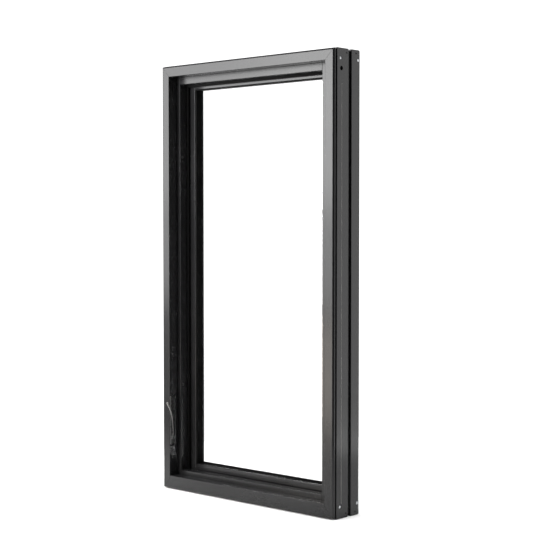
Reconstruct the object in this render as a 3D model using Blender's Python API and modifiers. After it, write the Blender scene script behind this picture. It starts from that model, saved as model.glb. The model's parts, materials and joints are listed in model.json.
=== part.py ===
# Casement window unit: an outer frame, a side-hung glazed sash that swings outward, and a
# multi-point lock worked by one curved lever low on the lock-side jamb.
# Frame: +X to the right seen from the room, +Y to the outdoors, +Z up, metres.
# The origin is on the underside of the sill, in the middle of its width.
import math

import bmesh
import bpy
from mathutils import Matrix, Vector

# ---- driving dimensions -------------------------------------------------------------------
WIDTH = 0.635
HEIGHT = 1.194
DEPTH = 0.110
ORIGIN_DEPTH = 0.036          # depth of the origin behind the room-side face
GAP = 0.0003                  # clearance between pieces that touch
WALL = 0.003                  # wall of the hollow profiles
KERF_WALL = 0.010             # the hollow starts here, one wall inside the kerf's floor

# Distances measured inward from the overall outer edge, for each side of the window.
SIDES = ("lock", "hinge", "head", "sill")
LIP_SETBACK = 0.002
LIP_INNER = {"lock": 0.029, "hinge": 0.031, "head": 0.031, "sill": 0.038}
REBATE = {"lock": 0.017, "hinge": 0.021, "head": 0.031, "sill": 0.038}
STOP_INNER = {"lock": 0.040, "hinge": 0.068, "head": 0.051, "sill": 0.051}
SASH_OUTER = {"lock": 0.031, "hinge": 0.027, "head": 0.036, "sill": 0.043}
SASH_INNER = {"lock": 0.065, "hinge": 0.065, "head": 0.0645, "sill": 0.067}
GASKET_INNER = {"lock": 0.069, "hinge": 0.069, "head": 0.0665, "sill": 0.072}
SEAL_BAND = {"lock": (0.033, 0.046), "hinge": (0.050, 0.062),
             "head": (0.044, 0.057), "sill": (0.043, 0.050)}
POCKET = 0.052                # sash material behind the glass pocket ends here
GLASS_EDGE = 0.0546
BEAD_INNER = 0.0588
SPACER_WIDTH = 0.0062

# Depths measured back from the room-side face.
LIP_DEPTH = 0.033
KERF = (0.0072, 0.0108, 0.007)  # front, back and floor of the kerf behind the lip
FIN_GROOVE = (0.056, 0.068, 0.005)
STOP_BACK = 0.060
SASH_FACE = 0.068
POCKET_FACE = 0.088
LINER_FACE = 0.070            # the gasket lines the sash's return from here to the glass
GLASS_FACE = 0.092
PANE = 0.003
SPACE = 0.006
FLANGE_EDGE = 0.019           # outdoor flange of the lock stile covers the lock gap
FLANGE_FACE = 0.107

# Hinge: a fixed stud top and bottom, in the outdoor corner of the hinge stile.
HINGE_IN = 0.038
HINGE_DEPTH = 0.097
STUD_RADIUS = 0.003
STUD_REACH = 0.017
HINGE_PLATE = 0.002

# Lock lever and tie bar.
R1 = LIP_INNER["lock"]        # the jamb's inner wall, which the lock is fixed to
ESCUTCHEON_Z = (0.125, 0.265)
ESCUTCHEON_V = (0.0015, 0.0155)
ESCUTCHEON_TOP = R1 + 0.0030
SHAFT_RADIUS = 0.0035
HUB = (ESCUTCHEON_TOP + GAP, ESCUTCHEON_TOP + 0.0055)
LEVER_DEPTH = 0.008
LEVER_Z = 0.148
LEVER_M = 0.0355
# The arm's centre line: depth, height above the pivot, and girth.
ARM_SHAPE = ((0.0080, 0.0, 1.35), (0.0078, 0.016, 1.2), (0.0055, 0.044, 1.0),
             (-0.0030, 0.075, 1.0), (-0.0125, 0.094, 1.25), (-0.0160, 0.1005, 0.9))
CRANK = 0.011                 # crank pin radius about the lever axis
CRANK_ANGLE = math.radians(75)
STROKE = 2 * CRANK * math.sin(CRANK_ANGLE)
TIE_BAR = (0.0173, 0.0198)    # inner and outer face of the bar, from the jamb's edge
TIE_DEPTH = (0.074, 0.090)
TIE_Z = (0.120, 0.990)
DRIVE_ARM_HALF = 0.012        # half the drive arm's height
DRIVE_SLOT_HALF = 0.0038
ROLLER_Z = (0.300, 0.940)
ROLLER_NAMES = ("lower", "upper")
ROLLER_DEPTH = 0.082
ROLLER_RADIUS = 0.0045
GUIDE_Z = (0.215, 0.620, 0.820)
PLUG_DEPTH = 0.043
PLUG_Z = (0.294, 0.940)

SCREW_INSET = {"head": 0.0255, "sill": 0.030}
SCREW_DEPTHS = (0.0255, 0.0955)
SCREW_LENGTH = 0.055
JAMB_HOLE = (0.028, 0.051)   # depth, and distance below the top
PIN_SPOTS = ((0.049, 0.011), (0.086, 0.009))

# ---- scene, collections, materials --------------------------------------------------------
for old in list(bpy.data.objects):
    bpy.data.objects.remove(old)

parts = bpy.data.collections.new("casement_window")
cutters = bpy.data.collections.new("cutters")
bpy.context.scene.collection.children.link(parts)
bpy.context.scene.collection.children.link(cutters)


def material(name, color, roughness, metallic=0.0, transmission=0.0):
    made = bpy.data.materials.new(name)
    made.use_nodes = True
    shader = made.node_tree.nodes["Principled BSDF"]
    shader.inputs["Base Color"].default_value = (*color, 1)
    shader.inputs["Roughness"].default_value = roughness
    shader.inputs["Metallic"].default_value = metallic
    shader.inputs["Transmission Weight"].default_value = transmission
    made.diffuse_color = (*color, 1)
    return made


BLACK_COAT = material("satin_black_coat", (0.035, 0.035, 0.037), 0.42)
RUBBER = material("black_rubber", (0.012, 0.012, 0.012), 0.8)
GLASS = material("clear_glass", (0.92, 0.95, 0.94), 0.03, transmission=1.0)
SPACER_GREY = material("warm_edge_spacer", (0.05, 0.05, 0.05), 0.5)
ZINC = material("zinc_plated_steel", (0.62, 0.62, 0.60), 0.3, 1.0)
STAINLESS = material("stainless_steel", (0.55, 0.55, 0.55), 0.35, 1.0)
BLACK_ZINC = material("black_die_cast_zinc", (0.03, 0.03, 0.03), 0.35, 0.4)
NYLON = material("black_nylon", (0.02, 0.02, 0.02), 0.5)

# ---- placing: (m, v, s) is inward from the edge, back from the room face, and along --------
HALF = WIDTH / 2


def place(side, m, v, s):
    y = v - ORIGIN_DEPTH
    if side == "lock":
        return Vector((-HALF + m, y, s))
    if side == "hinge":
        return Vector((HALF - m, y, s))
    if side == "head":
        return Vector((s, y, HEIGHT - m))
    return Vector((s, y, m))


def add(name, mesh, finish, collection=parts):
    mesh.name = name
    made = bpy.data.objects.new(name, mesh)
    collection.objects.link(made)
    if finish is None:
        made.hide_render = True
        made.display_type = "WIRE"
    else:
        mesh.materials.append(finish)
    return made


def as_mesh(shape):
    shape.normal_update()
    bmesh.ops.recalc_face_normals(shape, faces=shape.faces[:])
    mesh = bpy.data.meshes.new("shape")
    shape.to_mesh(mesh)
    shape.free()
    return mesh


def fillet(corners, steps=4):
    """An outline from (m, v, radius) corners, each corner with its radius turned as an arc."""
    points = []
    count = len(corners)
    for index, (m, v, radius) in enumerate(corners):
        here = Vector((m, v))
        if radius == 0:
            points.append(here)
            continue
        before = (Vector(corners[index - 1][:2]) - here).normalized()
        after = (Vector(corners[(index + 1) % count][:2]) - here).normalized()
        half = before.angle(after) / 2
        centre = here + (before + after).normalized() * (radius / math.sin(half))
        start = here + before * (radius / math.tan(half)) - centre
        end = here + after * (radius / math.tan(half)) - centre
        turn = start.angle_signed(end)
        for step in range(steps + 1):
            points.append(centre + Matrix.Rotation(-turn * step / steps, 2) @ start)
    return points


def bar(name, side, corners, start, end, finish, collection=parts, mitre=0.0):
    """A straight length of a profile. A mitred bar grows shorter inward at both ends."""
    shape = bmesh.new()
    outline = [shape.verts.new((p.x, p.y, start)) for p in fillet(corners)]
    face = shape.faces.new(outline)
    grown = bmesh.ops.extrude_face_region(shape, geom=[face])["geom"]
    moved = [item for item in grown if isinstance(item, bmesh.types.BMVert)]
    bmesh.ops.translate(shape, verts=moved, vec=(0, 0, end - start))
    middle = (start + end) / 2
    for vert in shape.verts:
        m, v, s = vert.co
        s += mitre * m * (1 if s < middle else -1)
        vert.co = place(side, m, v, s)
    return add(name, as_mesh(shape), finish, collection)


def block(name, side, m, v, s, finish, collection=parts):
    """A box between two distances inward, two depths and two places along the side."""
    low = place(side, m[0], v[0], s[0])
    high = place(side, m[1], v[1], s[1])
    shape = bmesh.new()
    bmesh.ops.create_cube(shape, size=1)
    size = high - low
    bmesh.ops.scale(shape, verts=shape.verts, vec=[abs(value) for value in size])
    bmesh.ops.translate(shape, verts=shape.verts, vec=(low + high) / 2)
    return add(name, as_mesh(shape), finish, collection)


def rod(name, start, end, radius, finish, collection=parts, sides=16, radius_end=None):
    """A round bar or cone between two points."""
    run = end - start
    shape = bmesh.new()
    bmesh.ops.create_cone(shape, cap_ends=True, segments=sides, radius1=radius,
                          radius2=radius_end or radius, depth=run.length)
    turn = Vector((0, 0, 1)).rotation_difference(run).to_matrix().to_4x4()
    bmesh.ops.transform(shape, verts=shape.verts,
                        matrix=Matrix.Translation((start + end) / 2) @ turn)
    made = add(name, as_mesh(shape), finish, collection)
    made.data.shade_smooth()
    made.data.set_sharp_from_angle(angle=math.radians(40))
    return made


def boolean(target, tool, operation):
    step = target.modifiers.new(tool.name, "BOOLEAN")
    step.operation = operation
    step.solver = "EXACT"
    step.object = tool


def cut(tool, *targets):
    for target in targets:
        boolean(target, tool, "DIFFERENCE")


def join(target, *tools):
    for tool in tools:
        boolean(target, tool, "UNION")


# ---- outer frame: four mitred hollow profiles with a rounded room-side lip ------------------
def frame_profile(side):
    kerf_front, kerf_back, kerf_floor = KERF
    fin_front, fin_back, fin_floor = FIN_GROOVE
    corners = [(LIP_SETBACK, 0, 0.0045), (LIP_SETBACK, kerf_front, 0), (kerf_floor, kerf_front, 0),
               (kerf_floor, kerf_back, 0), (0, kerf_back, 0.001), (0, fin_front, 0.001),
               (fin_floor, fin_front, 0), (fin_floor, fin_back, 0), (0, fin_back, 0.001),
               (0, DEPTH, 0.014), (REBATE[side], DEPTH, 0.001)]
    if REBATE[side] < LIP_INNER[side]:
        corners += [(REBATE[side], LIP_DEPTH, 0), (LIP_INNER[side], LIP_DEPTH, 0.0005)]
    return corners + [(LIP_INNER[side], 0, 0.0012)]


def neighbour_cutter(side):
    """The jamb's own room, a little larger, that the head and the sill are coped to."""
    lip = LIP_INNER[side] + GAP
    rebate = REBATE[side] + GAP
    beyond = 0.005
    corners = [(-beyond, -beyond, 0), (-beyond, DEPTH + beyond, 0), (rebate, DEPTH + beyond, 0),
               (rebate, LIP_DEPTH + GAP, 0), (lip, LIP_DEPTH + GAP, 0), (lip, -beyond, 0)]
    return bar("room_of_" + side, side, corners, -GAP, HEIGHT + GAP, None, cutters, mitre=1.0)


def hollow(target, side, m, v, length):
    core = block(target.name + "_core_" + str(len(target.modifiers)), side, m, v,
                 (length[0] - 0.01, length[1] + 0.01), None, cutters)
    cut(core, target)


frame = {}
for side in ("lock", "hinge"):
    frame[side] = bar("frame_jamb_" + side, side, frame_profile(side), 0, HEIGHT, BLACK_COAT,
                      mitre=1.0)
    hollow(frame[side], side, (KERF_WALL, LIP_INNER[side] - WALL),
           (WALL, LIP_DEPTH - WALL), (0, HEIGHT))
    hollow(frame[side], side, (FIN_GROOVE[2] + WALL, REBATE[side] - WALL),
           (LIP_DEPTH + WALL, DEPTH - 2 * WALL), (0, HEIGHT))

jamb_rooms = [neighbour_cutter("lock"), neighbour_cutter("hinge")]
SPAN = (-HALF, HALF)
for side in ("head", "sill"):
    frame[side] = bar("frame_" + side, side, frame_profile(side), *SPAN, BLACK_COAT)
    for room in jamb_rooms:
        cut(room, frame[side])
    hollow(frame[side], side, (KERF_WALL, LIP_INNER[side] - WALL), (WALL, 0.019), SPAN)
    hollow(frame[side], side, (FIN_GROOVE[2] + WALL, REBATE[side] - WALL),
           (LIP_DEPTH + WALL, 0.090), SPAN)

# ---- stops: hollow covers that make the second step inside the frame ------------------------
stop = {}
stop_v = (LIP_DEPTH + GAP, STOP_BACK)
UPRIGHT = (REBATE["sill"] + GAP, HEIGHT - REBATE["head"] - GAP)
ACROSS = (-HALF + STOP_INNER["lock"] + GAP, HALF - STOP_INNER["hinge"] - GAP)
for side in SIDES:
    along = UPRIGHT if side in ("lock", "hinge") else ACROSS
    outer, inner = REBATE[side] + GAP, STOP_INNER[side]
    corners = [(outer, stop_v[0], 0), (outer, stop_v[1], 0), (inner, stop_v[1], 0.001),
               (inner, stop_v[0], 0.001)]
    name = "stop_" + side if side in ("head", "sill") else "stop_jamb_" + side
    stop[side] = bar(name, side, corners, *along, BLACK_COAT)
    hollow(stop[side], side, (outer + 0.002, inner - 0.002), (stop_v[0] + 0.002, stop_v[1] - 0.002),
           along)

# ---- weatherstrip: four rubber bulbs on the back of the stops -------------------------------
for side in SIDES:
    low, high = SEAL_BAND[side]
    if side in ("lock", "hinge"):
        along = UPRIGHT
    else:
        along = (-HALF + SEAL_BAND["lock"][1] + GAP, HALF - SEAL_BAND["hinge"][1] - GAP)
    corners = [(low, STOP_BACK + GAP, 0), (low, SASH_FACE - 0.0005, 0.003),
               (high, SASH_FACE - 0.0005, 0.003), (high, STOP_BACK + GAP, 0)]
    bar("weatherstrip_" + side, side, corners, *along, RUBBER)

# ---- sash: two full-height stiles and two rails between them --------------------------------
sash = {}
STILE = (SASH_OUTER["sill"], HEIGHT - SASH_OUTER["head"])
RAIL = (-HALF + SASH_OUTER["lock"], HALF - SASH_OUTER["hinge"])


def sash_profile(side):
    outer, inner = SASH_OUTER[side], SASH_INNER[side]
    corners = [(outer, SASH_FACE, 0.0015)]
    if side == "lock":
        corners += [(outer, FLANGE_FACE, 0), (FLANGE_EDGE, FLANGE_FACE, 0), (FLANGE_EDGE, DEPTH, 0)]
    else:
        corners += [(outer, DEPTH, 0.001)]
    return corners + [(POCKET, DEPTH, 0.001), (POCKET, POCKET_FACE, 0), (inner, POCKET_FACE, 0),
                      (inner, SASH_FACE, 0.0015)]


for side, name in (("lock", "sash_stile_lock"), ("hinge", "sash_stile_hinge")):
    sash[side] = bar(name, side, sash_profile(side), *STILE, BLACK_COAT)
for side, name in (("head", "sash_rail_top"), ("sill", "sash_rail_bottom")):
    sash[side] = bar(name, side, sash_profile(side), *RAIL, BLACK_COAT)
for side in ("lock", "hinge"):
    room = bar("room_of_stile_" + side, side,
               [(0, SASH_FACE - 0.005, 0), (0, DEPTH + 0.005, 0), (POCKET + GAP, DEPTH + 0.005, 0),
                (POCKET + GAP, POCKET_FACE + GAP, 0), (SASH_INNER[side] + GAP, POCKET_FACE + GAP, 0),
                (SASH_INNER[side] + GAP, SASH_FACE - 0.005, 0)],
               0, HEIGHT, None, cutters)
    cut(room, sash["head"], sash["sill"])
for side in SIDES:
    along = STILE if side in ("lock", "hinge") else RAIL
    hollow(sash[side], side, (SASH_OUTER[side] + WALL, SASH_INNER[side] - WALL),
           (SASH_FACE + WALL, POCKET_FACE - WALL), along)
    if side in ("lock", "hinge"):
        hollow(sash[side], side, (SASH_OUTER[side] + WALL, POCKET - WALL),
               (POCKET_FACE, DEPTH - WALL), along)

# ---- glass unit, its gasket, blocks and beads -----------------------------------------------
GLASS_X = (-HALF + GLASS_EDGE, HALF - GLASS_EDGE)
GLASS_Z = (GLASS_EDGE, HEIGHT - GLASS_EDGE)
inner_pane = (GLASS_FACE, GLASS_FACE + PANE)
outer_pane = (GLASS_FACE + PANE + SPACE, GLASS_FACE + 2 * PANE + SPACE)
block("glass_inner", "sill", GLASS_Z, inner_pane, GLASS_X, GLASS)
block("glass_outer", "sill", GLASS_Z, outer_pane, GLASS_X, GLASS)
spacer_v = (inner_pane[1] + GAP, outer_pane[0] - GAP)
spacer = block("glass_spacer", "sill", GLASS_Z, spacer_v, GLASS_X, SPACER_GREY)
window = block("spacer_window", "sill", (GLASS_Z[0] + SPACER_WIDTH, GLASS_Z[1] - SPACER_WIDTH),
               (spacer_v[0] - 0.001, spacer_v[1] + 0.001),
               (GLASS_X[0] + SPACER_WIDTH, GLASS_X[1] - SPACER_WIDTH), None, cutters)
cut(window, spacer)

for side in SIDES:
    upright = side in ("lock", "hinge")
    edge = POCKET + GAP
    tall = (POCKET + 2 * GAP, HEIGHT - POCKET - 2 * GAP)
    gasket_wide = (-HALF + GASKET_INNER["lock"] + GAP, HALF - GASKET_INNER["hinge"] - GAP)
    corners = [(edge, POCKET_FACE + GAP, 0), (edge, GLASS_FACE - GAP, 0),
               (GASKET_INNER[side], GLASS_FACE - GAP, 0)]
    if side == "sill":
        corners += [(GASKET_INNER[side], POCKET_FACE + GAP, 0.001)]
    else:
        corners += [(GASKET_INNER[side], LINER_FACE, 0.0006),
                    (SASH_INNER[side] + GAP, LINER_FACE, 0),
                    (SASH_INNER[side] + GAP, POCKET_FACE + GAP, 0)]
    gasket = bar("glazing_gasket_" + side, side, corners, *(tall if upright else gasket_wide),
                 RUBBER)
    if upright:
        for end, reach in (("sill", (0, SASH_INNER["sill"] + GAP)),
                           ("head", (HEIGHT - SASH_INNER["head"] - GAP, HEIGHT))):
            cut(block("_".join(("room_of_rail", end, side)), side,
                      (SASH_INNER[side] - 0.001, GASKET_INNER[side] + 0.001),
                      (LINER_FACE - 0.001, POCKET_FACE + GAP), reach, None, cutters), gasket)
    bead_wide = (-HALF + BEAD_INNER + GAP, HALF - BEAD_INNER - GAP)
    bead_front = outer_pane[1] + GAP
    corners = [(edge, bead_front, 0), (edge, DEPTH - 0.0005, 0),
               (BEAD_INNER - 0.002, DEPTH - 0.0005, 0.001), (BEAD_INNER, bead_front + 0.002, 0),
               (BEAD_INNER, bead_front, 0)]
    bar("glazing_bead_" + side, side, corners, *(tall if upright else bead_wide), BLACK_COAT)

for name, x in (("left", -0.140), ("right", 0.140)):
    block("setting_block_" + name, "sill", (POCKET + GAP, GLASS_EDGE - GAP),
          (GLASS_FACE, outer_pane[1]), (x - 0.030, x + 0.030), NYLON)

# ---- corner screws: long screws through the jamb into the head and the sill ------------------
for side, facing in (("lock", 1), ("hinge", -1)):
    for level in ("head", "sill"):
        z = HEIGHT - SCREW_INSET["head"] if level == "head" else SCREW_INSET["sill"]
        for row, depth in zip(("front", "back"), SCREW_DEPTHS):
            outside = place(side, 0.0, depth, z)
            inward = Vector((facing, 0, 0))
            seat = outside + inward * 0.0008
            tip = outside + inward * SCREW_LENGTH
            hole = rod("hole_for_screw", outside - inward * 0.005, tip + inward * 0.001, 0.0024,
                       None, cutters, 12)
            sink = rod("sink_for_screw", outside - inward * 0.001, outside + inward * 0.0037,
                       0.0045, None, cutters, 16)
            cut(hole, frame[side], frame[level])
            cut(sink, frame[side])
            neck = seat + inward * 0.0026
            head = rod("_".join(("corner_screw", side, level, row)), seat, neck, 0.0040, ZINC,
                       sides=16)
            shank = rod("shank", seat + inward * 0.001, tip, 0.0020, None, cutters, 10)
            recess = rod("recess", outside - inward * 0.002, seat + inward * 0.0013, 0.0016,
                         None, cutters, 4)
            join(head, shank)
            cut(recess, head)

# Small pilot holes near the corners, and one open fixing hole below the head.
for side, facing in (("lock", 1), ("hinge", -1)):
    for depth, inset in PIN_SPOTS:
        for z in (inset, HEIGHT - inset):
            outside = place(side, 0.0, depth, z)
            inward = Vector((facing, 0, 0))
            cut(rod("pilot_hole", outside - inward * 0.001, outside + inward * 0.0055, 0.0022,
                    None, cutters, 12), frame[side])

for side, facing in (("lock", 1), ("hinge", -1)):
    depth, drop = JAMB_HOLE
    outside = place(side, 0.0, depth, HEIGHT - drop)
    hole = rod("jamb_hole", outside - Vector((facing * 0.003, 0, 0)),
               outside + Vector((facing * 0.014, 0, 0)), 0.0055, None, cutters, 20)
    cut(hole, frame[side])

# ---- plugs over the lock adjusting holes in the lock-side stop ------------------------------
for name, z in zip(ROLLER_NAMES, PLUG_Z):
    face = place("lock", STOP_INNER["lock"], PLUG_DEPTH, z)
    cut(rod("plug_hole", face + Vector((0.003, 0, 0)), face - Vector((0.004, 0, 0)), 0.0044, None,
            cutters, 20), stop["lock"])
    rod("stop_plug_" + name, face - Vector((0.0025, 0, 0)), face + Vector((0.0004, 0, 0)), 0.0040,
        NYLON, sides=20)

# ---- hinges: fixed plates with studs, nylon bushes in the ends of the hinge stile -----------
def at_hinge(level, inward, shift=0.0):
    return place(level, inward, HINGE_DEPTH, HALF - HINGE_IN + shift)


for level, name in (("head", "top"), ("sill", "bottom")):
    base = REBATE[level] + GAP
    sheet = (base, base + HINGE_PLATE)
    plate = block("hinge_plate_" + name, level, sheet, (HINGE_DEPTH - 0.009, HINGE_DEPTH + 0.009),
                  (HALF - HINGE_IN - 0.060, HALF - HINGE_IN + 0.012), STAINLESS)

    stud = rod("stud_" + name, at_hinge(level, base + 0.001),
               at_hinge(level, base + HINGE_PLATE + STUD_REACH), STUD_RADIUS, None, cutters, 24)
    join(plate, stud)
    for shift in (-0.048, -0.022):
        shank_hole = rod("plate_hole", at_hinge(level, base - 0.014, shift),
                         at_hinge(level, base + 0.004, shift), 0.0018, None, cutters, 12)
        sink = rod("plate_sink", at_hinge(level, base - 0.0003, shift),
                   at_hinge(level, base + 0.0033, shift), 0.0020, None, cutters, 16, 0.0056)
        cut(shank_hole, plate, frame[level])
        cut(sink, plate)
    washer = rod("hinge_washer_" + name, at_hinge(level, base + HINGE_PLATE + GAP),
                 at_hinge(level, SASH_OUTER[level] - GAP), 0.0062, NYLON, sides=24)
    washer_hole = rod("washer_hole_" + name, at_hinge(level, base),
                      at_hinge(level, SASH_OUTER[level] + 0.003), STUD_RADIUS + 0.0001, None,
                      cutters, 24)
    cut(washer_hole, washer)
    low_m = SASH_OUTER["hinge"] + WALL + GAP
    bush = bar("hinge_bush_" + name, "hinge",
               [(low_m, POCKET_FACE + GAP, 0), (low_m, DEPTH - WALL - GAP, 0),
                (POCKET - WALL - GAP, DEPTH - WALL - GAP, 0),
                (POCKET - WALL - GAP, POCKET_FACE + GAP, 0)],
               *((SASH_OUTER["sill"], SASH_OUTER["sill"] + 0.020) if level == "sill" else
                 (HEIGHT - SASH_OUTER["head"] - 0.020, HEIGHT - SASH_OUTER["head"])), NYLON)
    bush_hole = rod("bush_hole_" + name, at_hinge(level, SASH_OUTER[level] - 0.002),
                    at_hinge(level, SASH_OUTER[level] + 0.017), STUD_RADIUS + 0.0001, None,
                    cutters, 24)
    cut(bush_hole, bush)

# ---- lock: escutcheon and backplate either side of the jamb's inner wall ---------------------
def on_jamb(m, v, z):
    return place("lock", m, v, z)


escutcheon = block("lock_escutcheon", "lock", (R1 + GAP, ESCUTCHEON_TOP), ESCUTCHEON_V,
                   ESCUTCHEON_Z, BLACK_ZINC)
edges = escutcheon.modifiers.new("rounded_edges", "BEVEL")
edges.width = 0.0012
edges.segments = 2
backplate = block("lock_backplate", "lock", (R1 - WALL - 0.0028, R1 - WALL - GAP),
                  (WALL + GAP, LIP_DEPTH - WALL - 0.002), (0.128, 0.262), ZINC)
shaft_hole = rod("shaft_hole", on_jamb(R1 - 0.010, LEVER_DEPTH, LEVER_Z),
                 on_jamb(R1 + 0.010, LEVER_DEPTH, LEVER_Z), SHAFT_RADIUS + 0.0003, None, cutters, 24)
cut(shaft_hole, escutcheon, backplate, frame["lock"])

for name, z in zip(ROLLER_NAMES, (ESCUTCHEON_Z[0] + 0.008, ESCUTCHEON_Z[1] - 0.008)):
    cut(rod("cover_hole", on_jamb(R1 - 0.012, LEVER_DEPTH, z), on_jamb(R1 + 0.006, LEVER_DEPTH, z),
            0.0017, None, cutters, 12), escutcheon, backplate, frame["lock"])
    head = rod("escutcheon_screw_" + name, on_jamb(ESCUTCHEON_TOP + 0.0001, LEVER_DEPTH, z),
               on_jamb(ESCUTCHEON_TOP + 0.0011, LEVER_DEPTH, z), 0.0028, BLACK_ZINC, sides=16)
    shank = rod("cover_shank", on_jamb(R1 - 0.0075, LEVER_DEPTH, z),
                on_jamb(ESCUTCHEON_TOP + 0.0006, LEVER_DEPTH, z), 0.0014, None, cutters, 10)
    join(head, shank)

# ---- lever: a hub with a slim arm that curls out toward the room, and its cranked shaft ------
pivot = bpy.data.objects.new("lever_axis", None)
pivot.location = on_jamb(R1, LEVER_DEPTH, LEVER_Z)
parts.objects.link(pivot)
lever = rod("lock_lever", on_jamb(HUB[0], LEVER_DEPTH, LEVER_Z),
            on_jamb(HUB[1], LEVER_DEPTH, LEVER_Z), 0.0062, BLACK_ZINC, sides=24)
curve = bpy.data.curves.new("arm_curve", "CURVE")
curve.dimensions = "3D"
curve.bevel_depth = 0.0022
curve.bevel_resolution = 2
curve.resolution_u = 5
curve.use_fill_caps = True
spline = curve.splines.new("BEZIER")
spline.bezier_points.add(len(ARM_SHAPE) - 1)
for point, (depth, rise, girth) in zip(spline.bezier_points, ARM_SHAPE):
    point.co = on_jamb(LEVER_M, depth, LEVER_Z + rise)
    point.radius = girth
    point.handle_left_type = point.handle_right_type = "AUTO"
arm_curve = bpy.data.objects.new("arm_curve", curve)
cutters.objects.link(arm_curve)
graph = bpy.context.evaluated_depsgraph_get()
arm_mesh = bpy.data.meshes.new_from_object(arm_curve.evaluated_get(graph))
shape = bmesh.new()
shape.from_mesh(arm_mesh)
bmesh.ops.remove_doubles(shape, verts=shape.verts, dist=1e-5)
arm = add("lever_arm", as_mesh(shape), None, cutters)
bpy.data.objects.remove(arm_curve)
join(lever, arm)

shaft = rod("lever_shaft", on_jamb(R1 - 0.0088, LEVER_DEPTH, LEVER_Z),
            on_jamb(HUB[0] - GAP, LEVER_DEPTH, LEVER_Z), SHAFT_RADIUS, ZINC, sides=24)
crank_y = LEVER_DEPTH + CRANK * math.cos(CRANK_ANGLE)
crank_z = LEVER_Z - CRANK * math.sin(CRANK_ANGLE)
web_m = (R1 - 0.0088, R1 - 0.0063)
web_eye = rod("crank_eye", on_jamb(web_m[0], crank_y, crank_z), on_jamb(web_m[1], crank_y, crank_z),
              0.0032, None, cutters, 20)
web_middle = sum(web_m) / 2
web_bar = rod("crank_web", on_jamb(web_middle, LEVER_DEPTH, LEVER_Z),
              on_jamb(web_middle, crank_y, crank_z), 0.0012, None, cutters, 8)
crank_pin = rod("crank_pin", on_jamb(TIE_BAR[0] - 0.0005, crank_y, crank_z),
                on_jamb(web_m[1] - 0.0005, crank_y, crank_z), 0.0018, None, cutters, 16)
join(shaft, web_bar, web_eye, crank_pin)
for piece in (lever, shaft):
    piece.parent = pivot
    piece.matrix_parent_inverse = Matrix.Translation(-pivot.location)

# ---- tie bar: a flat bar beside the sash, with a drive arm that reaches to the crank ---------
tie = block("tie_bar", "lock", TIE_BAR, TIE_DEPTH, TIE_Z, STAINLESS)
drive_arm = block("drive_arm", "lock", TIE_BAR, (0.0045, TIE_DEPTH[1] - 0.003),
                  (crank_z - DRIVE_ARM_HALF, crank_z + DRIVE_ARM_HALF), None, cutters)
join(tie, drive_arm)
slot = block("drive_slot", "lock", (TIE_BAR[0] - 0.002, TIE_BAR[1] + 0.002),
             (crank_y - 0.0028, LEVER_DEPTH + CRANK + 0.0028),
             (crank_z - DRIVE_SLOT_HALF, crank_z + DRIVE_SLOT_HALF), None, cutters)
cut(slot, tie)
passage = block("drive_passage", "lock", (TIE_BAR[0] - 0.0008, TIE_BAR[1] + 0.0008),
                (LIP_DEPTH - WALL - 0.001, STOP_BACK + 0.001),
                (crank_z - DRIVE_ARM_HALF - 0.002, crank_z + DRIVE_ARM_HALF + STROKE + 0.002),
                None, cutters)
cut(passage, frame["lock"], stop["lock"])

for name, z in zip(ROLLER_NAMES, ROLLER_Z):
    roller = rod("lock_roller_" + name, on_jamb(TIE_BAR[1] + GAP, ROLLER_DEPTH, z),
                 on_jamb(0.0270, ROLLER_DEPTH, z), ROLLER_RADIUS, ZINC, sides=20)
    rivet = rod("roller_rivet_" + name, on_jamb(TIE_BAR[0] + 0.0001, ROLLER_DEPTH, z),
                on_jamb(0.0230, ROLLER_DEPTH, z), 0.0018, None, cutters, 12)
    join(roller, rivet)
    cut(rod("rivet_hole_" + name, on_jamb(TIE_BAR[0] - 0.001, ROLLER_DEPTH, z),
            on_jamb(TIE_BAR[1] + 0.001, ROLLER_DEPTH, z), 0.0021, None, cutters, 12), tie)

    # Keeper on the sash: a plate with a lug that ends up on the room side of the locked roller.
    locked = z + STROKE
    keeper = block("keeper_" + name, "lock", (SASH_OUTER["lock"] - 0.0020, SASH_OUTER["lock"] - GAP),
                   (0.0720, 0.0930), (locked - 0.024, locked + 0.024), ZINC)
    lug = block("keeper_lug_" + name, "lock", (0.0222, SASH_OUTER["lock"] - 0.0010),
                (0.0730, 0.0768), (locked - 0.008, locked + 0.008), None, cutters)
    join(keeper, lug)

for name, z in zip(("lower", "middle", "upper"), GUIDE_Z):
    inside = (TIE_DEPTH[0] - 0.0004, TIE_DEPTH[1] + 0.0004)
    outside = (inside[0] - 0.0025, inside[1] + 0.0025)
    low, high = TIE_BAR[0], TIE_BAR[1] + GAP
    corners = [(low, outside[0], 0), (low, inside[0], 0), (high, inside[0], 0), (high, inside[1], 0),
               (low, inside[1], 0), (low, outside[1], 0), (high + 0.0015, outside[1], 0.0008),
               (high + 0.0015, outside[0], 0.0008)]
    bar("tie_bar_guide_" + name, "lock", corners, z - 0.007, z + 0.007, NYLON)
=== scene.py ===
import json
import math

import bpy
from mathutils import Matrix, Vector


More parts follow.
